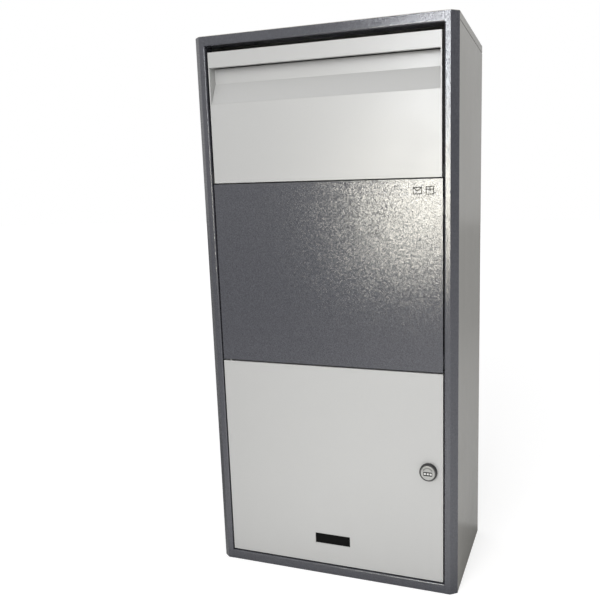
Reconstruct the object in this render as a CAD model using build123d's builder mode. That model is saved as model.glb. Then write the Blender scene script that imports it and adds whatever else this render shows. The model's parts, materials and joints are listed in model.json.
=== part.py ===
from build123d import *
from math import atan2, cos, degrees, hypot, radians, sin
import os

# Parcel drop box: a tall steel cabinet with a tilting hopper door at the top, a fixed panel in the
# middle and a hinged collection door with a three-dial cam lock at the bottom.
# Frame: +X right seen from the front, +Y towards the wall, +Z up; origin at the middle of the base.
# All sizes are millimetres.

os.makedirs("parts", exist_ok=True)

# ---------------------------------------------------------------- driving dimensions
WIDTH = 600.0
DEPTH = 300.0
HEIGHT = 1250.0
SHEET = 1.2  # cabinet and door sheet
FRAME_SHEET = 1.5  # front frame sheet
SEAM = 0.2  # gap between two cabinet sheets
SIDES = (("left", -1), ("right", 1))

# Front frame
HALF_W = WIDTH / 2
FRONT = -DEPTH / 2
BACK = DEPTH / 2
BEVEL_X = 15.0
BEVEL_Y = 11.0
STILE_FLAT = 13.5
FRAME_RETURN = 30.0
OPENING_HALF = HALF_W - BEVEL_X - STILE_FLAT
TOP_RAIL = 20.0
BOTTOM_RAIL = 22.5
FRAME_TOP = HEIGHT - SHEET
RAIL_UNDERSIDE = FRAME_TOP - TOP_RAIL
RETURN_END = FRONT + FRAME_RETURN
STILE_EDGE = 2.5
STILE_WING = 16.5
BEND_INSIDE = 1.5
BEND_OUTSIDE = BEND_INSIDE + FRAME_SHEET

# Doors and middle panel, all set back a little in the frame
REVEAL = 2.0
FACE = FRONT + REVEAL
SKIN_BACK = FACE + SHEET
LEAF_HALF = OPENING_HALF - 3.2
HOPPER_HALF = OPENING_HALF - 5.5
HOPPER_BOTTOM = 930.0
HOPPER_TOP = 1215.0
HOPPER_DEPTH = 16.0
PANEL_BOTTOM = 516.8
PANEL_TOP = 927.3
PANEL_DEPTH = 15.0
DOOR_BOTTOM = 26.3
DOOR_TOP = 513.2
DOOR_DEPTH = 18.0

# Hopper: it tilts forward about two short pins
PIVOT_Y = FACE + 6.5
PIVOT_Z = HOPPER_BOTTOM + 9.0
HOPPER_OPEN = 60.0
CHEEK_R = 265.0
TRAY_LENGTH = 240.0
TRAY_FALL = 60.0
PIN_R = 3.0
RUNNING = 0.05
GRIP_HALF = HOPPER_HALF - 2.6
GRIP_DEPTH = 21.0
GRIP_TOP = 1182.5
GRIP_BEND = 1150.7
GRIP_BOTTOM = 1103.2
GRIP_EDGE = 1183.5
GRIP_FLANGE = 10.0
STRIP_HALF = 220.0  # stiffening strip behind the top of the hopper door
STRIP_BOTTOM = 1206.0

# Collection door hinge and lock
HINGE_X = -LEAF_HALF + 15.0
HINGE_Y = FACE + DOOR_DEPTH / 2
LOCK_X = 236.0
LOCK_Z = 289.0
BEZEL_R = 20.0
KNOB_R = 16.5
SPINDLE_R = 4.0
BARREL_R = 12.8
DIAL_R = 4.0
DIAL_WIDTH = 4.0
DIAL_PITCH = 6.6
DIAL_DROP = 2.0
AXLE_R = 0.8
KNOB_FRONT = FACE - 10.0
KNOB_BACK = FACE - 1.5
DIAL_Y = KNOB_FRONT + DIAL_R - 0.4
DIAL_Z = LOCK_Z - DIAL_DROP
CAM_FRONT = -117.9
CAM_BACK = -114.9
CAM_LENGTH = 40.0

# Viewing slot
SLOT_WIDTH = 88.0
SLOT_HEIGHT = 25.0
SLOT_Z = 89.3

# Fixing holes
WALL_SPACING_X = 400.0
WALL_SPACING_Z = 800.0
WALL_Z = 650.0
WALL_HOLE_R = 4.5
FLOOR_SPACING_X = 440.0
FLOOR_SPACING_Y = 160.0
FLOOR_Y = 20.0
FLOOR_HOLE_R = 5.5


def finish(piece, label):
    """Name a finished sub-part and write it."""
    piece.part.label = label
    export_step(piece.part, f"parts/{label}.step")


def facing(y):
    """The XZ plane at depth y. It looks forward, so a negative extrusion runs towards the wall."""
    return Plane.XZ.offset(-y)


def block(x, y, z):
    """Add the box between three (low, high) pairs to the part being built."""
    with BuildSketch(Plane.XY.offset(z[0])) as outline:
        with Locations(((x[0] + x[1]) / 2, (y[0] + y[1]) / 2)):
            Rectangle(x[1] - x[0], y[1] - y[0])
    extrude(outline.sketch, amount=z[1] - z[0])


def pan(half, z, y, sheet=SHEET):
    """Add a shallow tray open at the back: a front sheet with four flanges."""
    middle = (z[0] + z[1]) / 2
    with BuildSketch(facing(y[0])) as outside:
        with Locations((0, middle)):
            Rectangle(2 * half, z[1] - z[0])
    extrude(outside.sketch, amount=-(y[1] - y[0]))
    with BuildSketch(facing(y[0] + sheet)) as inside:
        with Locations((0, middle)):
            Rectangle(2 * (half - sheet), z[1] - z[0] - 2 * sheet)
    extrude(inside.sketch, amount=-(y[1] - y[0]), mode=Mode.SUBTRACT)


def disc(x, z, radius, y, mode=Mode.ADD):
    """Add or cut a cylinder whose axis runs front to back."""
    with BuildSketch(facing(y[0])) as outline:
        with Locations((x, z)):
            Circle(radius)
    extrude(outline.sketch, amount=-(y[1] - y[0]), mode=mode)


def cross_rod(y, z, radius, x, mode=Mode.ADD):
    """Add or cut a cylinder whose axis runs left to right."""
    with BuildSketch(Plane.YZ.offset(min(x))) as outline:
        with Locations((y, z)):
            Circle(radius)
    extrude(outline.sketch, amount=abs(x[1] - x[0]), mode=mode)


def post(x, y, radius, z, mode=Mode.ADD):
    """Add or cut a cylinder whose axis is upright."""
    with BuildSketch(Plane.XY.offset(z[0])) as outline:
        with Locations((x, y)):
            Circle(radius)
    extrude(outline.sketch, amount=z[1] - z[0], mode=mode)


def arc_slot(plane, centre, radius, start, sweep, half):
    """A slot that follows an arc about a centre, with round ends."""
    ends = [
        (centre[0] + radius * cos(radians(angle)), centre[1] + radius * sin(radians(angle)))
        for angle in (start, start + sweep)
    ]
    with BuildSketch(plane) as slot:
        with BuildLine():
            CenterArc(centre, radius + half, start, sweep)
            CenterArc(ends[1], half, start + sweep, 180)
            CenterArc(centre, radius - half, start + sweep, -sweep)
            CenterArc(ends[0], half, start + 180, 180)
        make_face()
    return slot.sketch


# ---------------------------------------------------------------- front frame
for side, sign in SIDES:
    outer = HALF_W - FRAME_SHEET - 0.1
    inner_corner = (sign * OPENING_HALF, FRONT)
    bevel_corner = (sign * (HALF_W - BEVEL_X), FRONT)
    inner_bend = (sign * (OPENING_HALF + FRAME_SHEET), FRONT + FRAME_SHEET)
    with BuildPart() as stile:
        with BuildSketch(Plane.XY) as profile:
            with BuildLine():
                Polyline(
                    inner_corner,
                    bevel_corner,
                    (sign * HALF_W, FRONT + BEVEL_Y),
                    (sign * HALF_W, FRONT + BEVEL_Y + STILE_EDGE),
                    (sign * outer, FRONT + BEVEL_Y + STILE_EDGE),
                    (sign * outer, FRONT + BEVEL_Y + STILE_EDGE + STILE_WING),
                    (sign * (outer - FRAME_SHEET), FRONT + BEVEL_Y + STILE_EDGE + STILE_WING),
                    (sign * (outer - FRAME_SHEET), FRONT + BEVEL_Y + 1.0),
                    (sign * (HALF_W - BEVEL_X - 0.6), FRONT + FRAME_SHEET),
                    inner_bend,
                    (sign * (OPENING_HALF + FRAME_SHEET), RETURN_END),
                    (sign * OPENING_HALF, RETURN_END),
                    close=True,
                )
            make_face()
            for corner, radius in (
                (inner_corner, BEND_OUTSIDE),
                (inner_bend, BEND_INSIDE),
                (bevel_corner, BEND_OUTSIDE + 1.0),
            ):
                fillet(profile.vertices().sort_by_distance((*corner, 0))[0], radius)
        extrude(amount=FRAME_TOP)
        for z_range in ((0, BOTTOM_RAIL), (RAIL_UNDERSIDE, FRAME_TOP)):
            weld_x = sorted((sign * OPENING_HALF, sign * (OPENING_HALF + BEND_OUTSIDE)))
            block(weld_x, (FRONT, FRONT + FRAME_SHEET), z_range)
    finish(stile, f"frame_{side}_stile")

for label, z_low, z_high, opening_z in (
    ("frame_bottom_rail", 0, BOTTOM_RAIL, BOTTOM_RAIL),
    ("frame_top_rail", RAIL_UNDERSIDE, FRAME_TOP, RAIL_UNDERSIDE),
):
    with BuildPart() as rail:
        block((-OPENING_HALF, OPENING_HALF), (FRONT, RETURN_END), (z_low, z_high))
        fillet(rail.edges().sort_by_distance((0, FRONT, opening_z))[0], BEND_OUTSIDE)
        with BuildSketch(facing(FRONT + FRAME_SHEET)):
            with Locations((0, (z_low + z_high) / 2)):
                Rectangle(WIDTH, z_high - z_low - 2 * FRAME_SHEET)
        extrude(amount=-FRAME_RETURN, mode=Mode.SUBTRACT)
    finish(rail, label)

# ---------------------------------------------------------------- cabinet shell
PANEL_FRONT_EDGE = FRONT + BEVEL_Y + STILE_EDGE + 0.4
COVER_LIP = 14.2
COVER_SEAM = 1.8
SIDE_TOP = FRAME_TOP - COVER_LIP - COVER_SEAM
FLANGE = 20.0
BACK_HALF = HALF_W - SHEET - SEAM
RIM_DROP = 10.0
RIM_CLEARANCE = 0.5
RIM_TOP = FRAME_TOP - SEAM
RIM_FRONT = FRONT + BEVEL_Y + STILE_EDGE + STILE_WING + RIM_CLEARANCE
RIM_BACK = BACK - FLANGE - RIM_CLEARANCE

# Each wall has a rim stepped inwards that stands behind the cover's lip and closes the seam.
for side, sign in SIDES:
    with BuildPart() as side_panel:
        edges_x = sorted((sign * (HALF_W - SHEET), sign * HALF_W))
        block(edges_x, (PANEL_FRONT_EDGE, BACK), (0, SIDE_TOP))
        rim_inner = sign * (BACK_HALF - SHEET)
        step_x = sorted((rim_inner, sign * (HALF_W - SHEET)))
        block(step_x, (RIM_FRONT, RIM_BACK), (SIDE_TOP - RIM_DROP, SIDE_TOP))
        rim_x = sorted((rim_inner, sign * BACK_HALF))
        block(rim_x, (RIM_FRONT, RIM_BACK), (SIDE_TOP - RIM_DROP, RIM_TOP))
    finish(side_panel, f"side_panel_{side}")

with BuildPart() as top_cover:
    with BuildSketch(Plane.XY.offset(FRAME_TOP)):
        with BuildLine():
            Polyline(
                (-HALF_W, BACK),
                (HALF_W, BACK),
                (HALF_W, FRONT + BEVEL_Y),
                (HALF_W - BEVEL_X, FRONT + 0.4),
                (-(HALF_W - BEVEL_X), FRONT + 0.4),
                (-HALF_W, FRONT + BEVEL_Y),
                close=True,
            )
        make_face()
    extrude(amount=SHEET)
    with BuildSketch(Plane.XY.offset(FRAME_TOP)):
        with Locations((0, (PANEL_FRONT_EDGE + BACK) / 2)):
            Rectangle(WIDTH, BACK - PANEL_FRONT_EDGE)
        with Locations((0, (PANEL_FRONT_EDGE + BACK) / 2 - SHEET)):
            Rectangle(WIDTH - 2 * SHEET, BACK - PANEL_FRONT_EDGE, mode=Mode.SUBTRACT)
    extrude(amount=-COVER_LIP)
finish(top_cover, "top_cover")

RIM_OUTER = BACK - SHEET - SEAM
with BuildPart() as back_panel:
    block((-BACK_HALF, BACK_HALF), (BACK - SHEET, BACK), (0, SIDE_TOP))
    block((-BACK_HALF, BACK_HALF), (RIM_OUTER - SHEET, BACK - SHEET), (SIDE_TOP - RIM_DROP, SIDE_TOP))
    block((-BACK_HALF, BACK_HALF), (RIM_OUTER - SHEET, RIM_OUTER), (SIDE_TOP - RIM_DROP, RIM_TOP))
    for side, sign in SIDES:
        flange_x = sorted((sign * (BACK_HALF - SHEET), sign * BACK_HALF))
        block(flange_x, (BACK - FLANGE, BACK), (0, SIDE_TOP))
        block(flange_x, (BACK - FLANGE, RIM_OUTER), (0, RIM_TOP))
    with BuildSketch(facing(BACK - SHEET)):
        with Locations((0, WALL_Z)):
            with GridLocations(WALL_SPACING_X, WALL_SPACING_Z, 2, 2):
                Circle(WALL_HOLE_R)
    extrude(amount=-SHEET, mode=Mode.SUBTRACT)
finish(back_panel, "back_panel")

BASE_HALF = BACK_HALF - SHEET - 1.0
BASE_FRONT = RETURN_END + SEAM
BASE_BACK = BACK - SHEET - SEAM
BASE_FLANGE = 18.0
with BuildPart() as bottom_panel:
    block((-BASE_HALF, BASE_HALF), (BASE_FRONT, BASE_BACK), (0, BASE_FLANGE))
    with BuildSketch(Plane.XY.offset(SHEET)):
        with Locations((0, (BASE_FRONT + BASE_BACK) / 2 - SHEET)):
            Rectangle(2 * (BASE_HALF - SHEET), BASE_BACK - BASE_FRONT)
    extrude(amount=BASE_FLANGE, mode=Mode.SUBTRACT)
    with BuildSketch(Plane.XY):
        with Locations((0, FLOOR_Y)):
            with GridLocations(FLOOR_SPACING_X, FLOOR_SPACING_Y, 2, 2):
                Circle(FLOOR_HOLE_R)
    extrude(amount=SHEET, mode=Mode.SUBTRACT)
finish(bottom_panel, "bottom_panel")

# ---------------------------------------------------------------- middle panel and its rails
RAIL_FRONT = FACE + PANEL_DEPTH + SEAM
RAIL_BACK = RAIL_FRONT + 14.8
UPPER_RAIL = (855.0, 888.0)
LOWER_RAIL = (521.1, 554.0)
STUD_X = 180.0
STUD_R = 2.5
NUT_R = 4.6

with BuildPart() as middle_panel:
    pan(LEAF_HALF, (PANEL_BOTTOM, PANEL_TOP), (FACE, FACE + PANEL_DEPTH))
    post(HINGE_X, HINGE_Y, PIN_R + 0.3, (PANEL_BOTTOM, PANEL_BOTTOM + SHEET), Mode.SUBTRACT)
finish(middle_panel, "middle_panel")

for label, z_range in (("cross_rail_upper", UPPER_RAIL), ("cross_rail_lower", LOWER_RAIL)):
    rail_middle = (z_range[0] + z_range[1]) / 2
    with BuildPart() as cross_rail:
        block((-OPENING_HALF, OPENING_HALF), (RAIL_FRONT, RAIL_BACK), z_range)
        with BuildSketch(facing(RAIL_FRONT + FRAME_SHEET)):
            with Locations((0, rail_middle)):
                Rectangle(2 * (OPENING_HALF - FRAME_SHEET), z_range[1] - z_range[0] - 2 * FRAME_SHEET)
        extrude(amount=-DEPTH / 2, mode=Mode.SUBTRACT)
        for stud_x in (-STUD_X, STUD_X):
            disc(stud_x, rail_middle, STUD_R, (RAIL_FRONT, RAIL_FRONT + FRAME_SHEET), Mode.SUBTRACT)
    finish(cross_rail, label)

with BuildPart() as panel_studs:
    for z_range in (UPPER_RAIL, LOWER_RAIL):
        rail_middle = (z_range[0] + z_range[1]) / 2
        for stud_x in (-STUD_X, STUD_X):
            disc(stud_x, rail_middle, STUD_R, (SKIN_BACK, RAIL_BACK))
            with BuildSketch(facing(RAIL_FRONT + FRAME_SHEET)):
                with Locations((stud_x, rail_middle)):
                    RegularPolygon(NUT_R, 6)
            extrude(amount=-4.0)
finish(panel_studs, "panel_studs")

# ---------------------------------------------------------------- hopper hardware on the cabinet
BLOCK_INNER = OPENING_HALF - 4.2
STOP_Y = PIVOT_Y + 12.5
STOP_Z = PIVOT_Z + 60.0
CHEEK_OUTER = HOPPER_HALF - SHEET
CHEEK_INNER = CHEEK_OUTER - SHEET

for side, sign in SIDES:
    block_x = sorted((sign * BLOCK_INNER, sign * OPENING_HALF))
    with BuildPart() as pivot_block:
        block(block_x, (FACE + 1.0, RETURN_END - 1.0), (PIVOT_Z - 10.5, PIVOT_Z + 16.0))
        fillet(pivot_block.edges().filter_by(Axis.X), 3.0)
        cross_rod(PIVOT_Y, PIVOT_Z, PIN_R + RUNNING, block_x, Mode.SUBTRACT)
    finish(pivot_block, f"hopper_pivot_block_{side}")
    with BuildPart() as stop:
        block(block_x, (STOP_Y - 7.0, RETURN_END - 1.0), (STOP_Z - 8.0, STOP_Z + 8.0))
        fillet(stop.edges().filter_by(Axis.X), 2.0)
        cross_rod(STOP_Y, STOP_Z, PIN_R, (sign * (CHEEK_INNER - 1.0), sign * BLOCK_INNER))
    finish(stop, f"hopper_stop_{side}")

# ---------------------------------------------------------------- hopper
with BuildPart() as hopper_door:
    pan(HOPPER_HALF, (HOPPER_BOTTOM, HOPPER_TOP), (FACE, FACE + HOPPER_DEPTH))
    with BuildSketch(facing(FACE)):
        with Locations((0, (GRIP_BOTTOM + GRIP_TOP) / 2)):
            Rectangle(2 * GRIP_HALF, GRIP_TOP - GRIP_BOTTOM)
    extrude(amount=-SHEET, mode=Mode.SUBTRACT)
    block((-GRIP_HALF, GRIP_HALF), (FACE, FACE + 7.0), (GRIP_TOP, GRIP_TOP + SHEET))
    block(
        (-STRIP_HALF, STRIP_HALF),
        (FACE + HOPPER_DEPTH - SHEET, FACE + HOPPER_DEPTH),
        (STRIP_BOTTOM, HOPPER_TOP),
    )
    cross_rod(PIVOT_Y, PIVOT_Z, PIN_R, (-HOPPER_HALF, HOPPER_HALF), Mode.SUBTRACT)
finish(hopper_door, "hopper_door")

with BuildPart() as grip_channel:
    grip_back = FACE + GRIP_DEPTH
    slope = GRIP_DEPTH / (GRIP_BEND - GRIP_BOTTOM + 1.7)
    slant_end = GRIP_BEND - (grip_back - SKIN_BACK) / slope
    with BuildSketch(Plane.YZ):
        with BuildLine():
            Polyline(
                (grip_back + GRIP_FLANGE, GRIP_EDGE),
                (grip_back, GRIP_EDGE),
                (grip_back, GRIP_BEND),
                (SKIN_BACK, slant_end),
                (SKIN_BACK, slant_end - 12.0),
            )
            offset(amount=SHEET, side=Side.LEFT)
        make_face()
    extrude(amount=GRIP_HALF, both=True)
finish(grip_channel, "hopper_grip_channel")

fall = radians(TRAY_FALL)
stop_radius = hypot(STOP_Y - PIVOT_Y, STOP_Z - PIVOT_Z)
stop_angle = degrees(atan2(STOP_Z - PIVOT_Z, STOP_Y - PIVOT_Y))
for side, sign in SIDES:
    tip = (PIVOT_Y + CHEEK_R * cos(fall), PIVOT_Z - CHEEK_R * sin(fall))
    flange_end = FACE + HOPPER_DEPTH + SEAM
    heel_z = PIVOT_Z - (flange_end - PIVOT_Y) * sin(fall) / cos(fall)
    with BuildPart() as cheek:
        with BuildSketch(Plane.YZ.offset(sign * CHEEK_INNER)):
            with BuildLine():
                Polyline(
                    tip,
                    (flange_end, heel_z),
                    (flange_end, HOPPER_BOTTOM + SHEET + SEAM),
                    (SKIN_BACK + SEAM, HOPPER_BOTTOM + SHEET + SEAM),
                    (SKIN_BACK + SEAM, PIVOT_Z + CHEEK_R),
                    (PIVOT_Y, PIVOT_Z + CHEEK_R),
                )
                CenterArc((PIVOT_Y, PIVOT_Z), CHEEK_R, -TRAY_FALL, 90 + TRAY_FALL)
            make_face()
            with Locations((PIVOT_Y, PIVOT_Z)):
                Circle(PIN_R, mode=Mode.SUBTRACT)
        extrude(amount=sign * SHEET)
        slot = arc_slot(
            Plane.YZ.offset(sign * CHEEK_INNER),
            (PIVOT_Y, PIVOT_Z),
            stop_radius,
            stop_angle - HOPPER_OPEN,
            HOPPER_OPEN,
            PIN_R + 0.5,
        )
        extrude(slot, amount=sign * SHEET, mode=Mode.SUBTRACT)
    finish(cheek, f"hopper_cheek_{side}")
    with BuildPart() as pivot_pin:
        cross_rod(PIVOT_Y, PIVOT_Z, PIN_R, (sign * (CHEEK_INNER - SHEET), sign * (OPENING_HALF - 0.6)))
        cross_rod(PIVOT_Y, PIVOT_Z, PIN_R + 1.5, (sign * (CHEEK_INNER - SHEET), sign * CHEEK_INNER))
    finish(pivot_pin, f"hopper_pivot_pin_{side}")

TRAY_START = FACE + HOPPER_DEPTH + 1.2
TRAY_HALF = CHEEK_INNER - 0.1
TRAY_LIP = 12.0
with BuildPart() as hopper_tray:
    lap_z = HOPPER_BOTTOM + SHEET
    end_y = TRAY_START + TRAY_LENGTH * cos(fall)
    end_z = lap_z - TRAY_LENGTH * sin(fall)
    with BuildSketch(Plane.YZ):
        with BuildLine():
            Polyline(
                (SKIN_BACK + 1.5, lap_z),
                (TRAY_START, lap_z),
                (end_y, end_z),
                (end_y - TRAY_LIP * sin(fall), end_z - TRAY_LIP * cos(fall)),
            )
            offset(amount=SHEET, side=Side.LEFT)
        make_face()
    extrude(amount=TRAY_HALF, both=True)
finish(hopper_tray, "hopper_tray")

# ---------------------------------------------------------------- collection door hinge and catch
with BuildPart() as hinge_bracket:
    block((HINGE_X - 6.5, HINGE_X + 17.0), (FACE + 2.0, RAIL_BACK), (PANEL_BOTTOM + 1.4, LOWER_RAIL[0] - 0.1))
    post(HINGE_X, HINGE_Y, PIN_R, (PANEL_BOTTOM, LOWER_RAIL[0]), Mode.SUBTRACT)
finish(hinge_bracket, "hinge_bracket_upper")

with BuildPart() as hinge_pin_upper:
    post(HINGE_X, HINGE_Y, PIN_R, (DOOR_TOP - 13.0, LOWER_RAIL[0] + 3.0))
    post(HINGE_X, HINGE_Y, PIN_R + 2.0, (LOWER_RAIL[0] - 0.1, LOWER_RAIL[0] + 3.0))
finish(hinge_pin_upper, "hinge_pin_upper")

with BuildPart() as hinge_pin_lower:
    post(HINGE_X, HINGE_Y, PIN_R, (BOTTOM_RAIL, DOOR_BOTTOM + 14.0))
finish(hinge_pin_lower, "hinge_pin_lower")

with BuildPart() as hinge_washer:
    post(HINGE_X, HINGE_Y, 7.0, (BOTTOM_RAIL, DOOR_BOTTOM - 0.3))
    post(HINGE_X, HINGE_Y, PIN_R, (BOTTOM_RAIL, DOOR_BOTTOM), Mode.SUBTRACT)
finish(hinge_washer, "hinge_washer")

STRIKE_Z = (LOCK_Z - 25.0, LOCK_Z + 25.0)
STRIKE_INNER = OPENING_HALF - 1.6
STRIKE_BACK = CAM_FRONT - 0.5
STRIKE_SCREW_Y = FRONT + 24.5
with BuildPart() as strike_plate:
    block((STRIKE_INNER, OPENING_HALF - 0.1), (FRONT + 16.0, STRIKE_BACK), STRIKE_Z)
    block((STRIKE_INNER, OPENING_HALF + 12.0), (STRIKE_BACK - 1.5, STRIKE_BACK), STRIKE_Z)
    for screw_z in (LOCK_Z - 16.0, LOCK_Z + 16.0):
        cross_rod(STRIKE_SCREW_Y, screw_z, 2.0, (STRIKE_INNER, OPENING_HALF), Mode.SUBTRACT)
finish(strike_plate, "strike_plate")

with BuildPart() as strike_screws:
    for screw_z in (LOCK_Z - 16.0, LOCK_Z + 16.0):
        cross_rod(STRIKE_SCREW_Y, screw_z, 3.6, (STRIKE_INNER - 1.6, STRIKE_INNER))
        cross_rod(STRIKE_SCREW_Y, screw_z, 2.0, (STRIKE_INNER, OPENING_HALF - 0.05))
finish(strike_screws, "strike_screws")

BUMPER_GAP = 0.3
with BuildPart() as door_bumpers:
    for bumper_z in (130.0, 410.0):
        block(
            (LEAF_HALF - 4.0, OPENING_HALF - 0.1),
            (FACE + DOOR_DEPTH + BUMPER_GAP, RETURN_END - 1.0),
            (bumper_z - 10.0, bumper_z + 10.0),
        )
    fillet(door_bumpers.edges().filter_by(Axis.Z), 1.5)
finish(door_bumpers, "door_bumpers")

# ---------------------------------------------------------------- collection door
with BuildPart() as door_skin:
    pan(LEAF_HALF, (DOOR_BOTTOM, DOOR_TOP), (FACE, FACE + DOOR_DEPTH))
    with BuildSketch(facing(FACE)):
        with Locations((0, SLOT_Z)):
            Rectangle(SLOT_WIDTH, SLOT_HEIGHT)
    extrude(amount=-SHEET, mode=Mode.SUBTRACT)
    disc(LOCK_X, LOCK_Z, BARREL_R + 0.2, (FACE, SKIN_BACK), Mode.SUBTRACT)
    post(HINGE_X, HINGE_Y, PIN_R + RUNNING, (DOOR_BOTTOM, DOOR_TOP), Mode.SUBTRACT)
finish(door_skin, "door_skin")

STIFFENER_Z = (130.0, 490.0)
STIFFENER_DEPTH = 13.0
with BuildPart() as door_stiffener:
    with BuildSketch(Plane.XY.offset(STIFFENER_Z[0])):
        with BuildLine():
            Polyline(
                (-38, SKIN_BACK),
                (-20, SKIN_BACK),
                (-14, SKIN_BACK + STIFFENER_DEPTH),
                (14, SKIN_BACK + STIFFENER_DEPTH),
                (20, SKIN_BACK),
                (38, SKIN_BACK),
            )
            offset(amount=SHEET, side=Side.LEFT)
        make_face()
    extrude(amount=STIFFENER_Z[1] - STIFFENER_Z[0])
finish(door_stiffener, "door_stiffener")

PANE = 2.0
with BuildPart() as window_pane:
    block(
        (-SLOT_WIDTH / 2 - 8.0, SLOT_WIDTH / 2 + 8.0),
        (SKIN_BACK, SKIN_BACK + PANE),
        (SLOT_Z - SLOT_HEIGHT / 2 - 8.0, SLOT_Z + SLOT_HEIGHT / 2 + 8.0),
    )
finish(window_pane, "window_pane")

RETAINER_HALF_X = SLOT_WIDTH / 2 + 18.0
RETAINER_HALF_Z = SLOT_HEIGHT / 2 + 16.0
RETAINER_STUDS = (2 * RETAINER_HALF_X - 10.0, 2 * RETAINER_HALF_Z - 10.0)
with BuildPart() as window_retainer:
    with BuildSketch(facing(SKIN_BACK + PANE)):
        with Locations((0, SLOT_Z)):
            RectangleRounded(2 * RETAINER_HALF_X, 2 * RETAINER_HALF_Z, 5.0)
            Rectangle(SLOT_WIDTH, SLOT_HEIGHT, mode=Mode.SUBTRACT)
            with GridLocations(*RETAINER_STUDS, 2, 2):
                Circle(1.5, mode=Mode.SUBTRACT)
    extrude(amount=-SHEET)
finish(window_retainer, "window_retainer")

with BuildPart() as window_screws:
    with BuildSketch(facing(SKIN_BACK)):
        with Locations((0, SLOT_Z)):
            with GridLocations(*RETAINER_STUDS, 2, 2):
                Circle(1.5)
    extrude(amount=-(PANE + SHEET + 2.0))
    with BuildSketch(facing(SKIN_BACK + PANE + SHEET)):
        with Locations((0, SLOT_Z)):
            with GridLocations(*RETAINER_STUDS, 2, 2):
                RegularPolygon(3.2, 6)
    extrude(amount=-2.4)
finish(window_screws, "window_screws")

# ---------------------------------------------------------------- combination cam lock
CUP_FLOOR = FACE - 1.2
with BuildPart() as lock_housing:
    disc(LOCK_X, LOCK_Z, BEZEL_R, (FACE - 8.5, FACE))
    chamfer(lock_housing.faces().sort_by(Axis.Y)[0].edges(), 1.2)
    disc(LOCK_X, LOCK_Z, KNOB_R + 0.4, (FACE - 8.5, CUP_FLOOR), Mode.SUBTRACT)
    disc(LOCK_X, LOCK_Z, BARREL_R, (FACE, -124.0))
    disc(LOCK_X, LOCK_Z, SPINDLE_R + RUNNING, (FACE - 9.0, -123.0), Mode.SUBTRACT)
finish(lock_housing, "lock_housing")

with BuildPart() as lock_nut:
    with BuildSketch(facing(SKIN_BACK)):
        with Locations((LOCK_X, LOCK_Z)):
            RegularPolygon(17.5, 6)
            Circle(BARREL_R, mode=Mode.SUBTRACT)
    extrude(amount=-4.0)
finish(lock_nut, "lock_nut")

POCKET_HALF = DIAL_WIDTH / 2 + 0.3
with BuildPart() as lock_knob:
    disc(LOCK_X, LOCK_Z, KNOB_R, (KNOB_FRONT, KNOB_BACK))
    fillet(lock_knob.faces().sort_by(Axis.Y)[0].edges(), 1.6)
    groove = arc_slot(facing(KNOB_FRONT), (LOCK_X, LOCK_Z), KNOB_R - 5.0, 35, 110, 1.7)
    extrude(groove, amount=-1.4, mode=Mode.SUBTRACT)
    for dial in (-1, 0, 1):
        dial_x = LOCK_X + dial * DIAL_PITCH
        with BuildSketch(facing(KNOB_FRONT)):
            with Locations((dial_x, DIAL_Z)):
                Rectangle(2 * POCKET_HALF, 2 * DIAL_R + 0.8)
        extrude(amount=-(DIAL_Y + DIAL_R + 0.3 - KNOB_FRONT), mode=Mode.SUBTRACT)
    cross_rod(DIAL_Y, DIAL_Z, AXLE_R, (LOCK_X - 12.0, LOCK_X + 12.0), Mode.SUBTRACT)
    disc(LOCK_X, LOCK_Z, SPINDLE_R, (KNOB_BACK, CAM_BACK))
    disc(LOCK_X, LOCK_Z, 1.5, (CAM_BACK - 10.0, CAM_BACK), Mode.SUBTRACT)
finish(lock_knob, "lock_knob")

with BuildPart() as lock_dial_axle:
    cross_rod(DIAL_Y, DIAL_Z, AXLE_R, (LOCK_X - 12.0, LOCK_X + 12.0))
finish(lock_dial_axle, "lock_dial_axle")

for number in (1, 2, 3):
    dial_x = LOCK_X + (number - 2) * DIAL_PITCH
    with BuildPart() as lock_dial:
        with BuildSketch(Plane.YZ.offset(dial_x - DIAL_WIDTH / 2)):
            with Locations((DIAL_Y, DIAL_Z)):
                RegularPolygon(DIAL_R, 20)
                Circle(AXLE_R + RUNNING, mode=Mode.SUBTRACT)
        extrude(amount=DIAL_WIDTH)
    finish(lock_dial, f"lock_dial_{number}")

with BuildPart() as lock_cam:
    with BuildSketch(facing(CAM_FRONT)):
        with Locations((LOCK_X, LOCK_Z)):
            Circle(9.0)
        with Locations((LOCK_X, LOCK_Z - CAM_LENGTH / 2)):
            Rectangle(16.0, CAM_LENGTH)
        with Locations((LOCK_X, LOCK_Z)):
            Circle(SPINDLE_R, mode=Mode.SUBTRACT)
    extrude(amount=-(CAM_BACK - CAM_FRONT))
    fillet(lock_cam.edges().filter_by(Axis.Y).group_by(Axis.Z)[0], 3.0)
finish(lock_cam, "lock_cam")

with BuildPart() as lock_cam_screw:
    disc(LOCK_X, LOCK_Z, 1.5, (CAM_BACK - 10.0, CAM_BACK))
    disc(LOCK_X, LOCK_Z, 5.5, (CAM_BACK, CAM_BACK + 2.4))
    with BuildSketch(facing(CAM_BACK + 1.2)):
        with Locations((LOCK_X, LOCK_Z)):
            RegularPolygon(2.6, 6)
    extrude(amount=-1.3, mode=Mode.SUBTRACT)
finish(lock_cam_screw, "lock_cam_screw")
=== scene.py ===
import json
import math

import bmesh
import bpy
from mathutils import Matrix, Vector


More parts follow.
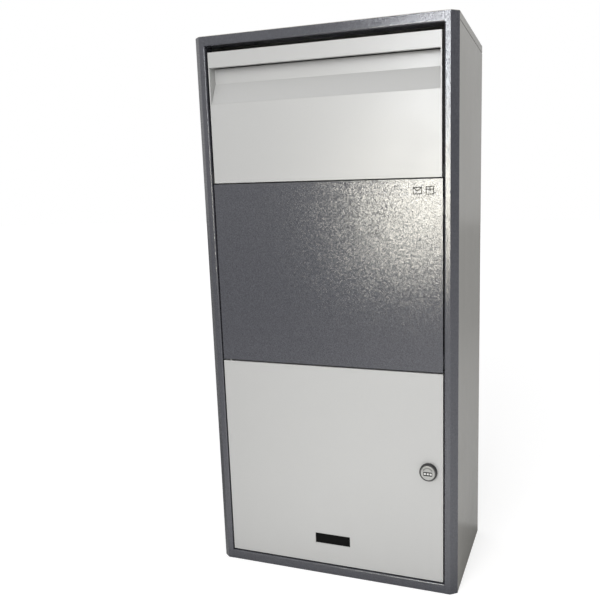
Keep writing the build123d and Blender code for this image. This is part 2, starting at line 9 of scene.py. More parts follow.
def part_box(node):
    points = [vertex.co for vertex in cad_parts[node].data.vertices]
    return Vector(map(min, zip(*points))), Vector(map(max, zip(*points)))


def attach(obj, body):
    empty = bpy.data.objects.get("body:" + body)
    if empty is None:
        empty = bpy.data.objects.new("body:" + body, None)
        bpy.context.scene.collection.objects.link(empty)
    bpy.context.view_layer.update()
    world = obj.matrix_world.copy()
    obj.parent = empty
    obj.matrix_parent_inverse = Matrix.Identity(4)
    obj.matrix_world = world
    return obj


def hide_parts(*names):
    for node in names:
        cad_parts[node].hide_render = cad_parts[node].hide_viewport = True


# Looks of the parcel drop box. Everything is in metres, in the CAD frame:
# +X right seen from the front, +Y towards the wall, +Z up.

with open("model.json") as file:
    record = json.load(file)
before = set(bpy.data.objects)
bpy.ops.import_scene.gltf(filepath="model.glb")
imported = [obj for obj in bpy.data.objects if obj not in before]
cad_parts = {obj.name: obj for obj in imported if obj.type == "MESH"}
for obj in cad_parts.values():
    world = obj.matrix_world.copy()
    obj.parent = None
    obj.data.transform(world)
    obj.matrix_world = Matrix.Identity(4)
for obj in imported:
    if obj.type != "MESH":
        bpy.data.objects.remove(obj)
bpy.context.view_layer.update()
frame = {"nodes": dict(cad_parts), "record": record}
nodes = frame["nodes"]
record = frame["record"]
slot_of = {part["node"]: part["material_slot"] for part in record["subparts"]}
body_of = {
    name: body
    for body, members in record["behaviour"]["bodies"].items()
    for name in members
}
MM = 0.001


# ---------------------------------------------------------------- node helpers
def new_material(name, color, roughness, metallic=0.0):
    """A material with a Principled shader, its tree and that shader."""
    material = bpy.data.materials.new(name)
    material.use_nodes = True
    shader = material.node_tree.nodes["Principled BSDF"]
    shader.inputs["Base Color"].default_value = (*color, 1.0)
    shader.inputs["Roughness"].default_value = roughness
    shader.inputs["Metallic"].default_value = metallic
    material.diffuse_color = (*color, 1.0)
    return material, material.node_tree, shader


def feed(tree, socket, value):
    """Links an output socket to an input socket, or sets the input to a value."""
    if isinstance(value, bpy.types.NodeSocket):
        tree.links.new(value, socket)
    else:
        socket.default_value = value


def add(tree, kind, inputs=None, **settings):
    """Adds one node. Inputs are values, or output sockets to link."""
    made = tree.nodes.new(kind)
    for name, value in settings.items():
        setattr(made, name, value)
    for name, value in (inputs or {}).items():
        feed(tree, made.inputs[name], value)
    return made


def where(tree):
    """The point on the object in its own coordinates, which ride with its body."""
    return add(tree, "ShaderNodeTexCoord").outputs["Object"]


def facing(tree):
    """The normal in the object's own coordinates."""
    return add(tree, "ShaderNodeTexCoord").outputs["Normal"]


def component(tree, vector, axis):
    """One component of a vector."""
    return add(tree, "ShaderNodeSeparateXYZ", {"Vector": vector}).outputs[axis]


def stretched(tree, point, scale):
    """The point with each axis scaled, for streaks and brushing."""
    return add(tree, "ShaderNodeMapping", {"Vector": point, "Scale": scale}).outputs["Vector"]


def noise(tree, point, scale, detail=2.0, rough=0.5):
    """A noise field from 0 to 1."""
    inputs = {"Vector": point, "Scale": scale, "Detail": detail, "Roughness": rough}
    return add(tree, "ShaderNodeTexNoise", inputs).outputs["Fac"]


def cells(tree, point, scale):
    """Cells of a random colour each."""
    inputs = {"Vector": point, "Scale": scale}
    return add(tree, "ShaderNodeTexVoronoi", inputs, feature="F1").outputs["Color"]


def round_cells(tree, point, scale, smoothness):
    """Round dimples: the softened distance to the nearest cell's centre."""
    inputs = {"Vector": point, "Scale": scale, "Smoothness": smoothness}
    return add(tree, "ShaderNodeTexVoronoi", inputs, feature="SMOOTH_F1").outputs["Distance"]


def ramp(tree, value, stops):
    """A colour or grey ramp from (position, colour) stops."""
    made = add(tree, "ShaderNodeValToRGB", {"Fac": value})
    elements = made.color_ramp.elements
    while len(elements) < len(stops):
        elements.new(0.5)
    for element, (position, color) in zip(elements, stops):
        element.position = position
        if not hasattr(color, "__len__"):
            color = (color, color, color)
        element.color = (*color, 1.0)
    return made.outputs["Color"]


def mixed(tree, factor, a, b, blend="MIX"):
    """Two colours mixed by a factor."""
    made = add(tree, "ShaderNodeMix", {0: factor}, data_type="RGBA", blend_type=blend)
    for socket, color in ((6, a), (7, b)):
        constant = not isinstance(color, bpy.types.NodeSocket)
        feed(tree, made.inputs[socket], (*color, 1.0) if constant else color)
    return made.outputs[2]


def math_node(tree, operation, *values, clamp=False):
    """A sum, product or comparison of values."""
    inputs = dict(enumerate(values))
    return add(tree, "ShaderNodeMath", inputs, operation=operation, use_clamp=clamp).outputs[0]


def times(tree, a, b, clamp=False):
    """The product of two values."""
    return math_node(tree, "MULTIPLY", a, b, clamp=clamp)


def plus(tree, a, b):
    """The sum of two values."""
    return math_node(tree, "ADD", a, b)


def vector_math(tree, operation, *values, output="Vector"):
    """A sum, product or length of vectors."""
    inputs = dict(enumerate(values))
    return add(tree, "ShaderNodeVectorMath", inputs, operation=operation).outputs[output]


def bump(tree, height, strength, distance, normal=None):
    """A normal with a bump from a height field, on top of another normal if one is given."""
    inputs = {"Height": height, "Strength": strength, "Distance": distance}
    if normal is not None:
        inputs["Normal"] = normal
    return add(tree, "ShaderNodeBump", inputs).outputs["Normal"]


def bumped(tree, shader, *settings):
    """Gives the shader a bump."""
    tree.links.new(bump(tree, *settings), shader.inputs["Normal"])


def edge_mask(tree, radius):
    """1 on outer edges and corners, 0 on flat faces, from a rounded normal."""
    soft = add(tree, "ShaderNodeBevel", {"Radius": radius}, samples=4).outputs["Normal"]
    plain = add(tree, "ShaderNodeNewGeometry").outputs["Normal"]
    alike = vector_math(tree, "DOT_PRODUCT", soft, plain, output="Value")
    return math_node(tree, "SUBTRACT", 1.0, alike, clamp=True)


def scaled(color, factor):
    """A colour with its channels multiplied."""
    return tuple(channel * factor for channel in color)


# ---------------------------------------------------------------- materials
FACET_SCALE = 800.0
GRAIN_SCALE = 1300.0
FACET_TILT = 0.135
FACET_TONES = [(0.15, (0.034, 0.035, 0.043)), (0.85, (0.086, 0.088, 0.103))]
FACET_GLINTS = [(0.0, 0.55), (1.0, 1.0)]
PATCH_TONE = (0.057, 0.059, 0.070)
WORN_EDGE_AND_HIGHLIGHT_TONE = (0.15, 0.15, 0.16)


def hammertone():
    """Dark grey hammertone powder coat: small glossy facets, each a little different."""
    material, tree, shader = new_material("frame_paint", (0.050, 0.052, 0.062), 0.20, 0.15)
    point = where(tree)
    facets = cells(tree, point, FACET_SCALE)
    channels = add(tree, "ShaderNodeSeparateColor", {"Color": facets}).outputs
    dimples = round_cells(tree, point, FACET_SCALE, 0.5)
    grain = noise(tree, point, GRAIN_SCALE, 2.0, 0.6)
    patch = noise(tree, point, 9.0, 3.0)

    mottle = times(tree, plus(tree, channels["Red"], grain), 0.5)
    tone = ramp(tree, mottle, FACET_TONES)
    tone = mixed(tree, times(tree, patch, 0.35), tone, PATCH_TONE)
    # Lighter edges: partly paint worn thin, partly a painted highlight on the bends.
    edge_share = times(tree, edge_mask(tree, 0.8 * MM), 0.9, clamp=True)
    tree.links.new(mixed(tree, edge_share, tone, WORN_EDGE_AND_HIGHLIGHT_TONE), shader.inputs["Base Color"])

    tree.links.new(ramp(tree, channels["Green"], FACET_GLINTS), shader.inputs["Coat Weight"])
    shader.inputs["Coat Roughness"].default_value = 0.17
    shader.inputs["Specular IOR Level"].default_value = 0.7

    # Each facet leans its own way, and the dimples and the grain are raised on top of that.
    tilt = vector_math(tree, "SUBTRACT", facets, (0.5, 0.5, 0.5))
    tilt = add(tree, "ShaderNodeVectorMath", {0: tilt, "Scale": FACET_TILT}, operation="SCALE")
    flat = add(tree, "ShaderNodeNewGeometry").outputs["Normal"]
    leaning = vector_math(tree, "ADD", flat, tilt.outputs["Vector"])
    leaning = vector_math(tree, "NORMALIZE", leaning)
    height = plus(tree, dimples, times(tree, grain, 0.5))
    bumped(tree, shader, height, 0.15, 0.25 * MM, leaning)
    tree.links.new(leaning, shader.inputs["Coat Normal"])
    return material


# Painted shade: a near-black band on the outward faces of the narrow groove under the top cover's
# lip.
SEAM_SHADE_TONE = (0.010, 0.010, 0.010)
# The seam's height takes the ramp from 0.25 to 0.75, with soft ends.
SEAM_SHADE_BAND = [(0.24, 0.0), (0.27, 1.0), (0.73, 1.0), (0.76, 0.0)]


def seam_mask(tree, point, low, high):
    """1 on the outward faces of the narrow groove between two heights, where shade is painted; 0
    elsewhere.
    """
    above = math_node(tree, "SUBTRACT", component(tree, point, "Z"), low)
    share = math_node(tree, "DIVIDE", above, high - low)
    band = ramp(tree, math_node(tree, "MULTIPLY_ADD", share, 0.5, 0.25), SEAM_SHADE_BAND)
    outwards = vector_math(tree, "DOT_PRODUCT", facing(tree), point, output="Value")
    return times(tree, band, math_node(tree, "GREATER_THAN", outwards, 0.0))


def powder_coat(name, color, shade, roughness, shine, texture, waves, seam_shade=None):
    """Smooth powder coat: orange peel, faint clouding, dulled edges, waves and painted shade in a
    seam.
    """
    material, tree, shader = new_material(name, color, roughness)
    point = where(tree)
    peel = noise(tree, point, 700.0, 3.0, 0.55)
    specks = noise(tree, point, 2600.0, 1.0)
    clouds = noise(tree, point, 6.0, 4.0, 0.6)

    tone = mixed(tree, times(tree, clouds, 0.55), color, shade)
    fine = ramp(tree, specks, [(0.35, 0.94), (0.65, 1.0)])
    tone = mixed(tree, 1.0, tone, fine, "MULTIPLY")
    edge_share = times(tree, edge_mask(tree, 0.7 * MM), 0.5, clamp=True)
    tone = mixed(tree, edge_share, tone, scaled(color, 0.72))
    # Painted shade in the seam's groove.
    if seam_shade:
        tone = mixed(tree, seam_mask(tree, point, *seam_shade), tone, SEAM_SHADE_TONE)
    tree.links.new(tone, shader.inputs["Base Color"])

    gloss = ramp(tree, clouds, [(0.3, roughness - 0.04), (0.7, roughness + 0.06)])
    tree.links.new(gloss, shader.inputs["Roughness"])
    shader.inputs["Specular IOR Level"].default_value = shine

    sheet = noise(tree, stretched(tree, point, (1.0, 14.0, 2.5)), 1.0, 1.0)
    sway = bump(tree, sheet, waves, 1.0 * MM)
    bumped(tree, shader, peel, texture, 0.12 * MM, sway)
    return material


def zinc(name, color, roughness, spangle):
    """Zinc-plated steel: faint crystals, rolling streaks and a slightly uneven shine."""
    material, tree, shader = new_material(name, color, roughness, 1.0)
    point = where(tree)
    crystals = cells(tree, point, spangle)
    grey = add(tree, "ShaderNodeRGBToBW", {"Color": crystals}).outputs["Val"]
    streaks = noise(tree, stretched(tree, point, (30.0, 400.0, 400.0)), 1.0, 3.0)
    dull = scaled(color, 0.82)
    tone = mixed(tree, times(tree, grey, 0.6), color, dull)
    tone = mixed(tree, times(tree, streaks, 0.35), tone, dull)
    tree.links.new(tone, shader.inputs["Base Color"])
    tree.links.new(plus(tree, times(tree, grey, 0.12), roughness), shader.inputs["Roughness"])
    bumped(tree, shader, streaks, 0.12, 0.05 * MM)
    return material


# Painted shade: near-black in the chrome of the knob's groove and openings.
RECESS_SHADE_TONE = (0.012, 0.012, 0.012)
RECESS_REACH = 10.0 * MM
# Shares of that reach, behind the knob's face: painted shade in its groove and openings.
RECESS_SHADE_BAND = [(0.10, 0.0), (0.20, 1.0), (0.88, 1.0), (0.95, 0.0)]


def satin_chrome(name, color, roughness, centre, front):
    """Satin chrome on die-cast zinc, turned in rings about the axis, with painted shade in its
    recesses.
    """
    material, tree, shader = new_material(name, color, roughness, 1.0)
    point = where(tree)
    local = vector_math(tree, "SUBTRACT", point, centre)
    flat = vector_math(tree, "MULTIPLY", local, (1.0, 0.0, 1.0))
    reach = vector_math(tree, "LENGTH", flat, output="Value")
    along = add(tree, "ShaderNodeCombineXYZ", {"X": reach}).outputs["Vector"]
    rings = noise(tree, stretched(tree, along, (5000.0, 1.0, 1.0)), 1.0, 3.0)
    smudge = noise(tree, point, 120.0, 3.0)

    tone = mixed(tree, times(tree, smudge, 0.5), color, scaled(color, 0.8))
    depth = math_node(tree, "SUBTRACT", component(tree, point, "Y"), front)
    sunken = math_node(tree, "DIVIDE", depth, RECESS_REACH, clamp=True)
    # Painted shade in the recesses behind the knob's face.
    tone = mixed(tree, ramp(tree, sunken, RECESS_SHADE_BAND), tone, RECESS_SHADE_TONE)
    tree.links.new(tone, shader.inputs["Base Color"])
    tree.links.new(plus(tree, times(tree, smudge, 0.15), roughness), shader.inputs["Roughness"])
    bumped(tree, shader, rings, 0.25, 0.02 * MM)
    return material


def moulded(name, color, roughness, grain_scale, strength, dusty=0.004):
    """Moulded plastic or rubber with a fine mould grain and faint dust."""
    material, tree, shader = new_material(name, color, roughness)
    point = where(tree)
    grain = noise(tree, point, grain_scale, 3.0, 0.6)
    dust = noise(tree, point, 40.0, 4.0, 0.6)
    lighter = tuple(min(1.0, channel * 1.15 + dusty) for channel in color)
    tone = mixed(tree, ramp(tree, dust, [(0.4, 0.0), (0.75, 0.8)]), color, lighter)
    tree.links.new(tone, shader.inputs["Base Color"])
    shine = plus(tree, times(tree, dust, 0.12), roughness - 0.05)
    tree.links.new(shine, shader.inputs["Roughness"])
    bumped(tree, shader, grain, strength, 0.05 * MM)
    return material


def bezel(name, color, front, roughness):
    """Black plated metal, with a painted grey reflection in smudged patches on the face that looks
    forwards.
    """
    material, tree, shader = new_material(name, color, roughness, 0.3)
    smudge = noise(tree, where(tree), 300.0, 3.0)
    forwards = math_node(tree, "ABSOLUTE", component(tree, facing(tree), "Y"))
    face = ramp(tree, forwards, [(0.75, 0.0), (0.95, 0.8)])
    # Painted reflection: the forward face is lighter grey than the sides.
    painted_sheen = times(tree, face, plus(tree, smudge, 0.5))
    tree.links.new(mixed(tree, painted_sheen, color, front), shader.inputs["Base Color"])
    tree.links.new(plus(tree, times(tree, smudge, 0.1), roughness), shader.inputs["Roughness"])
    bumped(tree, shader, smudge, 0.1, 0.02 * MM)
    return material


# The groove under the top cover's lip, where shade is painted into the shell paint.
SEAM_HEIGHT = 1.8 * MM
seam_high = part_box("top_cover")[0].z
shaded_seam_heights = (seam_high - SEAM_HEIGHT, seam_high)
housing_low, housing_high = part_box("lock_housing")
lock_centre = (housing_low + housing_high) / 2
knob_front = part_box("lock_knob")[0].y

materials = {
    "frame_paint": hammertone(),
    "door_paint": powder_coat(
        "door_paint", (0.447, 0.448, 0.440), (0.418, 0.419, 0.412), 0.34, 0.80, 0.30, 0.15
    ),
    "shell_paint": powder_coat(
        "shell_paint",
        (0.475, 0.462, 0.428),
        (0.435, 0.423, 0.395),
        0.20,
        0.5,
        0.06,
        0.6,
        seam_shade=shaded_seam_heights,
    ),
    "inner_steel": zinc("inner_steel", (0.55, 0.56, 0.57), 0.36, 90.0),
    "fastener_steel": zinc("fastener_steel", (0.60, 0.60, 0.58), 0.28, 400.0),
    "lock_chrome": satin_chrome("lock_chrome", (0.50, 0.50, 0.49), 0.34, lock_centre, knob_front),
    # The second colour is the painted reflection on the bezel's forward face.
    "lock_black": bezel("lock_black", (0.010, 0.010, 0.011), (0.09, 0.09, 0.088), 0.32),
    "black_nylon": moulded("black_nylon", (0.008, 0.008, 0.008), 0.70, 1800.0, 0.30),
    "dial_plastic": moulded("dial_plastic", (0.80, 0.80, 0.78), 0.40, 3000.0, 0.20),
    "window_plastic": moulded(
        "window_plastic", (0.001, 0.001, 0.001), 0.40, 2000.0, 0.05, dusty=0.0005
    ),
    "bumper_rubber": moulded("bumper_rubber", (0.015, 0.015, 0.015), 0.75, 1800.0, 0.50),
}
pane_shader = materials["window_plastic"].node_tree.nodes["Principled BSDF"]
pane_shader.inputs["Specular IOR Level"].default_value = 0.1
ink = moulded("dial_ink", (0.020, 0.020, 0.022), 0.50, 2500.0, 0.10)
# Dark ink for the printed signs, also used for the painted shade round the number wheels.
print_ink_and_shade = moulded("print_ink_and_shade", (0.015, 0.014, 0.014), 0.60, 2500.0, 0.10)


# ---------------------------------------------------------------- piece helpers
WELD_DISTANCE = 2e-6
FLAT_ANGLE = math.radians(0.6)


def clean_copy(node):
    """A welded copy of a CAD node's mesh, with its flat faces joined up."""
    mesh = nodes[node].data.copy()
    for name in [a.name for a in mesh.attributes if a.name == "custom_normal"]:
        mesh.attributes.remove(mesh.attributes[name])
    work = bmesh.new()
    work.from_mesh(mesh)
    bmesh.ops.remove_doubles(work, verts=work.verts, dist=WELD_DISTANCE)
    bmesh.ops.dissolve_limit(work, angle_limit=FLAT_ANGLE, verts=work.verts, edges=work.edges)
    for face in work.faces:
        face.smooth = True
    work.to_mesh(mesh)
    work.free()
    return mesh


def in_scene(name, data):
    """A new object in the scene."""
    made = bpy.data.objects.new(name, data)
    bpy.context.scene.collection.objects.link(made)
    return made


def place(piece, node):
    """Puts a new piece on the body of the CAD node that it stands for, in the same finish."""
    piece.data.materials.clear()
    piece.data.materials.append(materials[slot_of[node]])
    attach(piece, body_of[node])
    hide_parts(node)


def rounded(node, radius, angle):
    """A copy of a CAD node with rounded bends, standing for it."""
    piece = in_scene(f"{node}_sheet", clean_copy(node))
    bevel = piece.modifiers.new("bends", "BEVEL")
    bevel.width = radius
    bevel.segments = 2
    bevel.limit_method = "ANGLE"
    bevel.angle_limit = angle
    bevel.use_clamp_overlap = True
    weighted = piece.modifiers.new("shading", "WEIGHTED_NORMAL")
    weighted.keep_sharp = True
    place(piece, node)
    return piece


def new_piece(name, verts, faces, material, smooth=False):
    """A new mesh object from vertices and faces."""
    mesh = bpy.data.meshes.new(name)
    mesh.from_pydata(verts, [], faces)
    mesh.validate()
    for polygon in mesh.polygons:
        polygon.use_smooth = smooth
    mesh.materials.append(material)
    return in_scene(name, mesh)


# ---------------------------------------------------------------- finishes and rounded bends
for name, piece in nodes.items():
    piece.data.materials.clear()
    piece.data.materials.append(materials[slot_of[name]])

BEND_RADII_MM = {
    "frame_left_stile": 0.6,
    "frame_right_stile": 0.6,
    "frame_top_rail": 0.5,
    "frame_bottom_rail": 0.5,
    "side_panel_left": 0.25,
    "side_panel_right": 0.25,
    "top_cover": 0.5,
    "back_panel": 0.5,
    "middle_panel": 0.55,
    "hopper_door": 0.55,
    "hopper_grip_channel": 0.5,
    "door_skin": 0.55,
    "lock_housing": 0.3,
    "lock_knob": 0.25,
}
LEAST_BEND_DEG = 28.0
SHALLOW_BENDS_DEG = {"hopper_grip_channel": 12.0}
sheets = {}
for name, radius in BEND_RADII_MM.items():
    least = SHALLOW_BENDS_DEG.get(name, LEAST_BEND_DEG)
    sheets[name] = rounded(name, radius * MM, math.radians(least))


# ---------------------------------------------------------------- number wheels
DIGITS = 10
WHEEL_SAMPLES = 120
WHEEL_RIM = 0.35 * MM
WHEEL_BORE = 0.9 * MM
WHEEL_CREASE = math.radians(35)
NOTCH_DEPTH = 0.24 * MM
NOTCH_SHARPNESS = 10
DIGIT_HEIGHT = 2.5 * MM
DIGIT_WEIGHT = 0.03 * MM
DIGIT_PROUD = 0.02 * MM
DIGIT_CUT = 0.25 * MM


def wheel_point(centre, x, reach, turn):
    """A point about a wheel's axis. Turn 0 looks forward, and it goes up from there."""
    return (x, centre.y - reach * math.cos(turn), centre.z + reach * math.sin(turn))


def dial_wheel(node):
    """A number wheel with a notch between each two digits and soft rims."""
    low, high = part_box(node)
    centre = (low + high) / 2
    radius = (high.z - low.z) / 2
    rings = [
        (low.x, WHEEL_BORE),
        (low.x, radius - WHEEL_RIM),
        (low.x + WHEEL_RIM, radius),
        (high.x - WHEEL_RIM, radius),
        (high.x, radius - WHEEL_RIM),
        (high.x, WHEEL_BORE),
    ]
    verts, faces = [], []
    for x, reach in rings:
        for k in range(WHEEL_SAMPLES):
            turn = 2 * math.pi * k / WHEEL_SAMPLES
            notch = max(0.0, -math.cos(DIGITS * turn)) ** NOTCH_SHARPNESS * NOTCH_DEPTH
            cut = notch if reach > WHEEL_BORE else 0.0
            verts.append(wheel_point(centre, x, reach - cut, turn))
    for ring in range(len(rings) - 1):
        for k in range(WHEEL_SAMPLES):
            a = ring * WHEEL_SAMPLES + k
            b = ring * WHEEL_SAMPLES + (k + 1) % WHEEL_SAMPLES
            faces.append((a, b, b + WHEEL_SAMPLES, a + WHEEL_SAMPLES))
    wheel = new_piece(f"{node}_wheel", verts, faces, materials["dial_plastic"], smooth=True)
    wheel.data.set_sharp_from_angle(angle=WHEEL_CREASE)
    place(wheel, node)
    return centre, radius


def digit_mesh(digit):
    """A flat digit centred on the origin, as a mesh."""
    text = bpy.data.curves.new("digit", "FONT")
    text.body = str(digit)
    text.size = DIGIT_HEIGHT
    text.align_x = "CENTER"
    text.align_y = "CENTER"
    text.offset = DIGIT_WEIGHT
    holder = in_scene("digit", text)
    bpy.context.view_layer.update()
    evaluated = holder.evaluated_get(bpy.context.evaluated_depsgraph_get())
    flat = bpy.data.meshes.new_from_object(evaluated)
    bpy.data.objects.remove(holder)
    bpy.data.curves.remove(text)
    return flat


def dial_digits(node, centre, radius, first):
    """Ten digits printed round a number wheel, each cut into strips that follow its curve."""
    work = bmesh.new()
    for k in range(DIGITS):
        flat = digit_mesh((first + k) % DIGITS)
        glyph = bmesh.new()
        glyph.from_mesh(flat)
        for step in range(-4, 5):
            bmesh.ops.bisect_plane(
                glyph,
                geom=glyph.verts[:] + glyph.edges[:] + glyph.faces[:],
                plane_co=(0.0, step * DIGIT_CUT, 0.0),
                plane_no=(0.0, 1.0, 0.0),
            )
        for vert in glyph.verts:
            turn = 2 * math.pi * k / DIGITS + vert.co.y / radius
            vert.co = wheel_point(centre, centre.x + vert.co.x, radius + DIGIT_PROUD, turn)
        glyph.to_mesh(flat)
        work.from_mesh(flat)
        glyph.free()
        bpy.data.meshes.remove(flat)
    mesh = bpy.data.meshes.new(f"{node}_digits")
    work.to_mesh(mesh)
    work.free()
    mesh.materials.append(ink)
    digits = in_scene(f"{node}_digits", mesh)
    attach(digits, body_of[node])


wheel_centres = []
for number in (1, 2, 3):
    dial = f"lock_dial_{number}"
    centre, radius = dial_wheel(dial)
    dial_digits(dial, centre, radius, first=3 * number)
    wheel_centres.append(centre)


# ---------------------------------------------------------------- printed marks, and painted shade on the number wheels
SURROUND_PROUD = 0.04 * MM
SURROUND_END = 3.7 * MM
OPENING_HALF_WIDTH = 2.2 * MM
OPENING_HALF_HEIGHT = 2.1 * MM
SURROUND_HALF_HEIGHT = 4.8 * MM


def number_surround():
    """A dark surround just in front of the knob: painted shade over the upper and lower curves of
    the number wheels, with one small window for each wheel.
    """
    across = [wheel_centres[0].x - SURROUND_END]
    for middle in wheel_centres:
        across += [middle.x - OPENING_HALF_WIDTH, middle.x + OPENING_HALF_WIDTH]
    across.append(wheel_centres[-1].x + SURROUND_END)
    outer, inner = SURROUND_HALF_HEIGHT, OPENING_HALF_HEIGHT
    heights = [wheel_centres[0].z + step for step in (-outer, -inner, inner, outer)]
    verts = [(x, knob_front - SURROUND_PROUD, z) for z in heights for x in across]
    count = len(across)
    faces = []
    for row in range(len(heights) - 1):
        for column in range(count - 1):
            is_opening = row == 1 and column % 2 == 1
            if not is_opening:
                a = row * count + column
                faces.append((a, a + 1, a + count + 1, a + count))
    # Painted shade: the dark surround hides all but the middle of each number wheel.
    surround = new_piece("number_surround", verts, faces, print_ink_and_shade)
    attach(surround, "lock")


number_surround()

panel_low, panel_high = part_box("middle_panel")
SIGN_PROUD = 0.06 * MM
SIGN_LINE = 2.0 * MM
SIGN_DROP = 24.0 * MM
LETTER_INSET, PARCEL_INSET = 54.5 * MM, 27.5 * MM
LETTER_HALF, PARCEL_HALF = (9.0 * MM, 6.5 * MM), (8.0 * MM, 7.5 * MM)
sign_z = panel_high.z - SIGN_DROP


def rectangle(x, z, half):
    """The closed outline of a rectangle, as (x, z) points."""
    w, h = half
    corners = [(x - w, z - h), (x + w, z - h), (x + w, z + h), (x - w, z + h)]
    return corners + corners[:1]


def printed_sign(name, lines):
    """Printed lines just in front of the middle panel; each line is a chain of (x, z) points."""
    verts, faces = [], []
    for line in lines:
        for start, end in zip(line, line[1:]):
            a, b = Vector(start), Vector(end)
            along = (b - a).normalized() * SIGN_LINE / 2
            across = Vector((-along.y, along.x))
            base = len(verts)
            a, b = a - along, b + along
            corners = (a - across, b - across, b + across, a + across)
            verts += [(p.x, panel_low.y - SIGN_PROUD, p.y) for p in corners]
            faces.append((base, base + 1, base + 2, base + 3))
    piece = new_piece(name, verts, faces, print_ink_and_shade)
    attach(piece, "cabinet")


x = panel_high.x - LETTER_INSET
w, h = LETTER_HALF
flap = [(x - w, sign_z + h), (x, sign_z - 0.5 * MM), (x + w, sign_z + h)]
printed_sign("sign_letter", [rectangle(x, sign_z, LETTER_HALF), flap])

x = panel_high.x - PARCEL_INSET
w, h = PARCEL_HALF
tape = [(x - w, sign_z + 2.5 * MM), (x + w, sign_z + 2.5 * MM)]
seal = [(x, sign_z + h), (x, sign_z - 1.0 * MM)]
printed_sign("sign_parcel", [rectangle(x, sign_z, PARCEL_HALF), tape, seal])


# ---------------------------------------------------------------- lights
def area_light(name, x, y, z_range, width, watts, tint, diffuse=True, glossy=True):
    """A soft upright rectangular light that faces the doors."""
    light = bpy.data.lights.new(name, "AREA")
    light.shape = "RECTANGLE"
    light.size = width
    light.size_y = z_range[1] - z_range[0]
    light.energy = watts
    light.color = tint
    holder = in_scene(name, light)
    holder.location = (x, y, (z_range[0] + z_range[1]) / 2)
    holder.rotation_euler = (math.radians(90), 0.0, 0.0)
    holder.visible_camera = False
    holder.visible_diffuse = diffuse
    holder.visible_glossy = glossy
    return holder


# A window in two parts, warm below and cool above, is seen only in reflections. Three more lights
# do the lighting and aren't reflected: one in the window's place, one high up and one low down.
WINDOW_Y = -2.63
WARM, COOL, WHITE = (1.0, 0.96, 0.82), (0.95, 0.97, 1.0), (0.98, 0.98, 1.0)
SOFT = (1.0, 0.99, 0.96)
window = [
    area_light("window_low", -0.325, WINDOW_Y, (0.66, 1.20), 0.65, 19.2, WARM, diffuse=False),
    area_light("window_high", -0.145, WINDOW_Y, (1.20, 2.30), 0.39, 22.0, COOL, diffuse=False),
]
area_light("window_fill", 0.06, WINDOW_Y, (1.20, 2.30), 0.98, 34.0, WHITE, glossy=False)
area_light("sky_light", 0.30, -1.60, (1.90, 2.50), 1.6, 11.0, SOFT, glossy=False)
area_light("low_light", 0.08, -1.00, (0.10, 0.50), 1.0, 2.8, SOFT, glossy=False)

# The window isn't reflected in the outer walls, where its glare would hide their outline when they
# are seen from behind.
dull_walls = bpy.data.collections.new("dull_walls")
for name in ("side_panel_left", "side_panel_right", "top_cover"):
    dull_walls.objects.link(nodes[name])
    dull_walls.objects.link(sheets[name])
for member in dull_walls.collection_objects:
    member.light_linking.link_state = "EXCLUDE"
for part in window:
    part.light_linking.receiver_collection = dull_walls


# ---------------------------------------------------------------- floor
# The floor looks plain and pale. For the light it throws back it is dark in a strip under and
# beside the box, pale in front of that strip, in between behind it, and darker towards the left.
FLOOR_HALF = 40.0
FLOOR_CLOUDS = [(0.3, 0.54), (0.7, 0.56)]
FLOOR_GLOW = [(0.05, 0.60), (0.8, 0.74)]
FLOOR_GLOW_REACH = 10.0
# Ramps over Y from -4 to 4 m and over X from -1 to 1 m.
FLOOR_STRIP = [
    (0.47, 0.90),
    (0.4875, 0.26),
    (0.5205, 0.26),
    (0.522, 0.62),
    (0.66, 0.62),
    (0.90, 0.44),
]
FLOOR_LEFT = [(0.10, 0.62), (0.42, 1.0)]

material, tree, shader = new_material("studio_floor", (0.55, 0.55, 0.55), 0.9)
point = where(tree)
seen = add(tree, "ShaderNodeLightPath").outputs["Is Camera Ray"]
across = math_node(tree, "MULTIPLY_ADD", component(tree, point, "Y"), 0.125, 0.5)
along = math_node(tree, "MULTIPLY_ADD", component(tree, point, "X"), 0.5, 0.5)
thrown_back = mixed(
    tree, 1.0, ramp(tree, across, FLOOR_STRIP), ramp(tree, along, FLOOR_LEFT), "MULTIPLY"
)
looks = ramp(tree, noise(tree, point, 0.8, 2.0), FLOOR_CLOUDS)
tree.links.new(mixed(tree, seen, thrown_back, looks), shader.inputs["Base Color"])
shader.inputs["Specular IOR Level"].default_value = 0.1
reach = vector_math(tree, "LENGTH", point, output="Value")
glow = ramp(tree, math_node(tree, "DIVIDE", reach, FLOOR_GLOW_REACH, clamp=True), FLOOR_GLOW)
shader.inputs["Emission Color"].default_value = (1.0, 1.0, 1.0, 1.0)
tree.links.new(times(tree, glow, seen), shader.inputs["Emission Strength"])

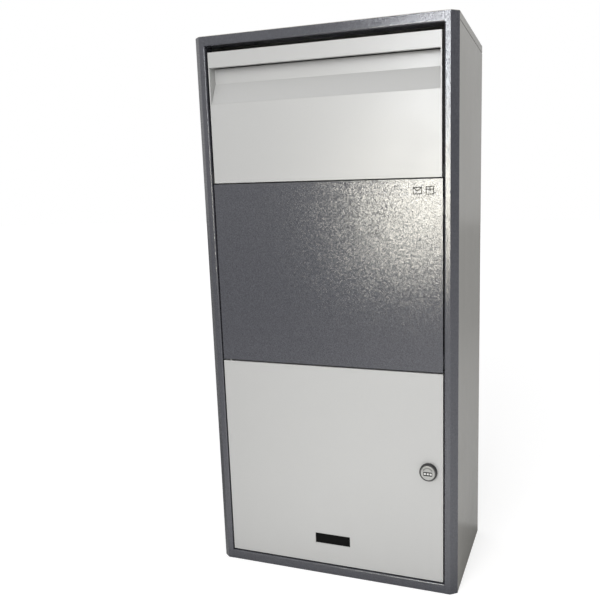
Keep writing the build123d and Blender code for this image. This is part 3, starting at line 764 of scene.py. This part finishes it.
corners = [(x * FLOOR_HALF, y * FLOOR_HALF, 0.0) for x, y in ((-1, -1), (1, -1), (1, 1), (-1, 1))]
floor = new_piece("studio_floor", corners, [(0, 1, 2, 3)], material)


# ---------------------------------------------------------------- surround
# White to the camera. For the light it gives it is grey, darkest behind the camera and lighter
# overhead.
TOWARDS_WALL = (-0.5, 0.87, 0.0)
ROOM_TONES = [(0.0, 0.20), (0.10, 0.27), (0.17, 0.46), (0.27, 0.56), (0.65, 0.58), (0.9, 0.50)]
OVERHEAD = 0.25

world = bpy.data.worlds.new("studio")
bpy.context.scene.world = world
world.use_nodes = True
tree = world.node_tree
background = tree.nodes["Background"]
direction = add(tree, "ShaderNodeTexCoord").outputs["Generated"]
towards_wall = vector_math(tree, "DOT_PRODUCT", direction, TOWARDS_WALL, output="Value")
room = ramp(tree, math_node(tree, "MULTIPLY_ADD", towards_wall, 0.5, 0.5), ROOM_TONES)
height = component(tree, direction, "Z")
ceiling = times(tree, times(tree, height, height), OVERHEAD)
room = mixed(tree, 1.0, room, ramp(tree, ceiling, [(0.0, 0.0), (1.0, 1.0)]), "ADD")
seen = add(tree, "ShaderNodeLightPath").outputs["Is Camera Ray"]
tree.links.new(mixed(tree, seen, room, (1.0, 1.0, 1.0)), background.inputs["Color"])
background.inputs["Strength"].default_value = 1.0


# ---------------------------------------------------------------- camera
# Fitted to the corners of the cabinet and the doors in the photograph.
CAMERA_AT = (0.5403, -1.4064, 0.8647)
CAMERA_RIGHT = Vector((0.95588, 0.29343, -0.01354))
CAMERA_UP = Vector((-0.03347, 0.15461, 0.98741))

camera_data = bpy.data.cameras.new("camera")
camera_data.sensor_width = 36.0
camera_data.lens = 36.894
camera_data.shift_x = -0.15
camera_data.shift_y = 0.0133
camera_data.clip_start = 0.05
camera_data.clip_end = 200.0
camera = in_scene("camera", camera_data)
bpy.context.scene.camera = camera
axes = Matrix((CAMERA_RIGHT, CAMERA_UP, CAMERA_RIGHT.cross(CAMERA_UP))).transposed()
camera.matrix_world = Matrix.Translation(CAMERA_AT) @ axes.to_4x4()

bpy.context.scene.view_settings.view_transform = "Standard"
